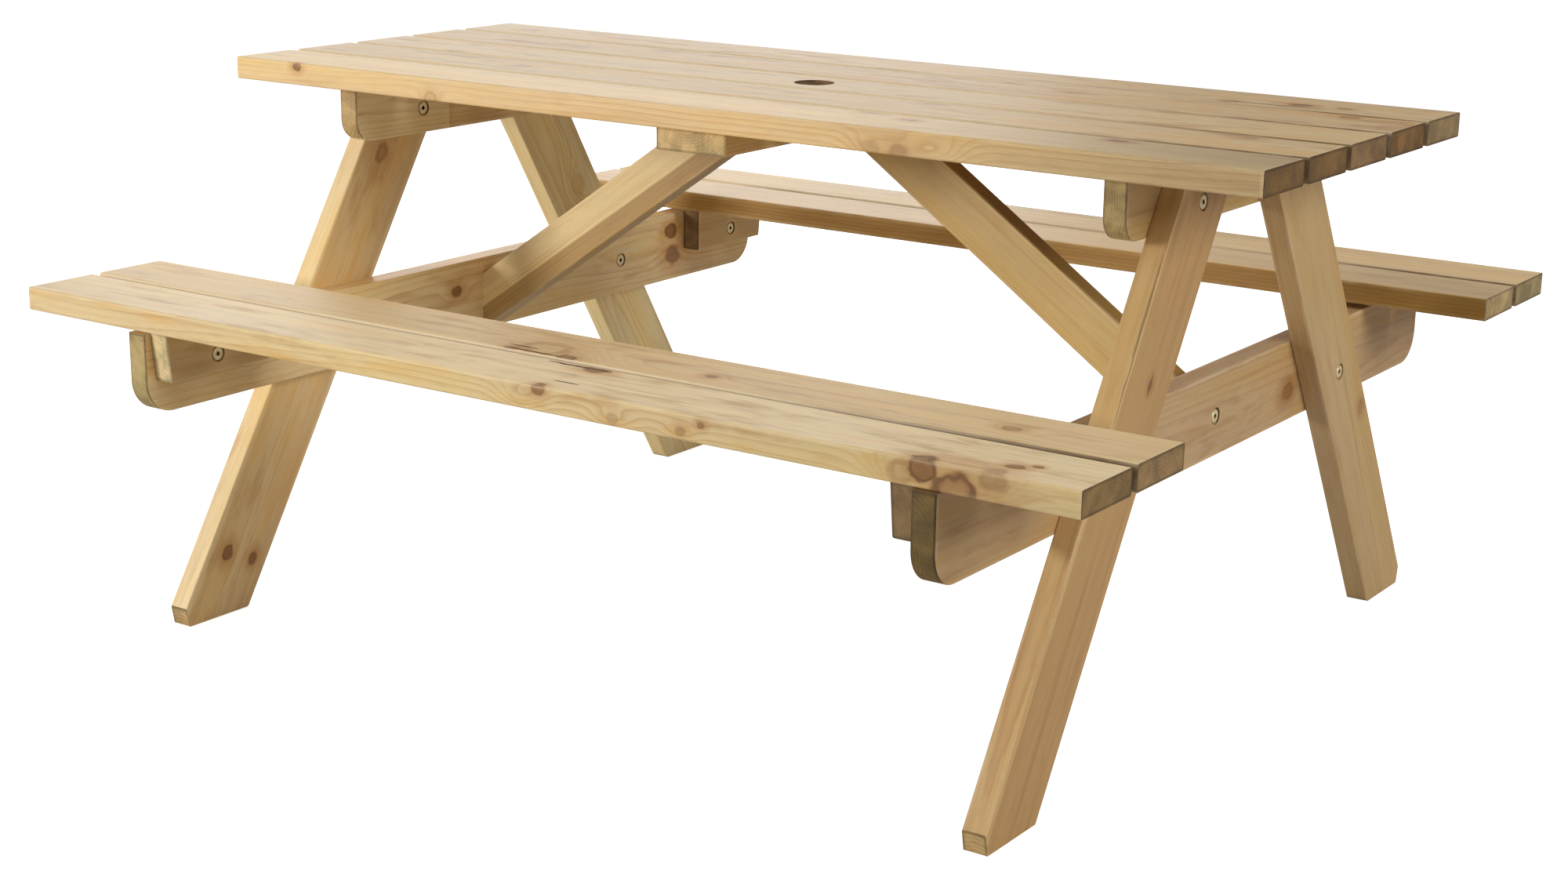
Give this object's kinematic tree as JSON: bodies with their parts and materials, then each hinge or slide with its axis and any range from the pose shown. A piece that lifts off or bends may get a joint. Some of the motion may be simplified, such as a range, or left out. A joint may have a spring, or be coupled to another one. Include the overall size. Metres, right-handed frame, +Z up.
{
  "type": "picnic table",
  "caption": "Timber picnic table with two attached benches, raked A-frame legs, diagonal braces and a parasol hole through the top.",
  "frame": {"origin": "on the ground, under the centre of the table top", "axes": "+X along the boards, +Y across the table towards the back bench, +Z up"},
  "size_m": [1.62, 1.412, 0.756],
  "materials": {
    "timber_top": "planed pressure-treated pine, pale and dry",
    "timber_bench": "planed pressure-treated pine, pale and dry",
    "timber_frame": "planed pressure-treated pine, honey brown",
    "timber_brace": "planed pressure-treated pine, honey brown",
    "joint_steel": null,
    "screw_steel": null
  },
  "bodies": {
    "root": {"top_board_1_front": "timber_top", "top_board_2": "timber_top", "top_board_3_centre": "timber_top", "top_board_4": "timber_top", "top_board_5_back": "timber_top", "bench_front_outer_board": "timber_bench", "bench_front_inner_board": "timber_bench", "bench_back_inner_board": "timber_bench", "bench_back_outer_board": "timber_bench", "leg_left_front": "timber_frame", "leg_left_back": "timber_frame", "leg_right_front": "timber_frame", "leg_right_back": "timber_frame", "seat_beam_left": "timber_frame", "seat_beam_right": "timber_frame", "top_beam_left": "timber_frame", "top_beam_right": "timber_frame", "bench_cleat_left_front": "timber_frame", "bench_cleat_left_back": "timber_frame", "bench_cleat_right_front": "timber_frame", "bench_cleat_right_back": "timber_frame", "centre_batten": "timber_brace", "brace_left": "timber_brace", "brace_right": "timber_brace", "bolts_leg_to_top_beam": "joint_steel", "bolts_leg_to_seat_beam": "joint_steel", "sleeve_nuts_top_beam": "joint_steel", "sleeve_nuts_seat_beam": "joint_steel", "coach_screws_cleats": "joint_steel", "coach_screws_braces": "joint_steel", "screws_top_beams": "screw_steel", "screws_centre_batten": "screw_steel", "screws_bench_cleats": "screw_steel", "screws_braces": "screw_steel"}
  },
  "joints": []
}
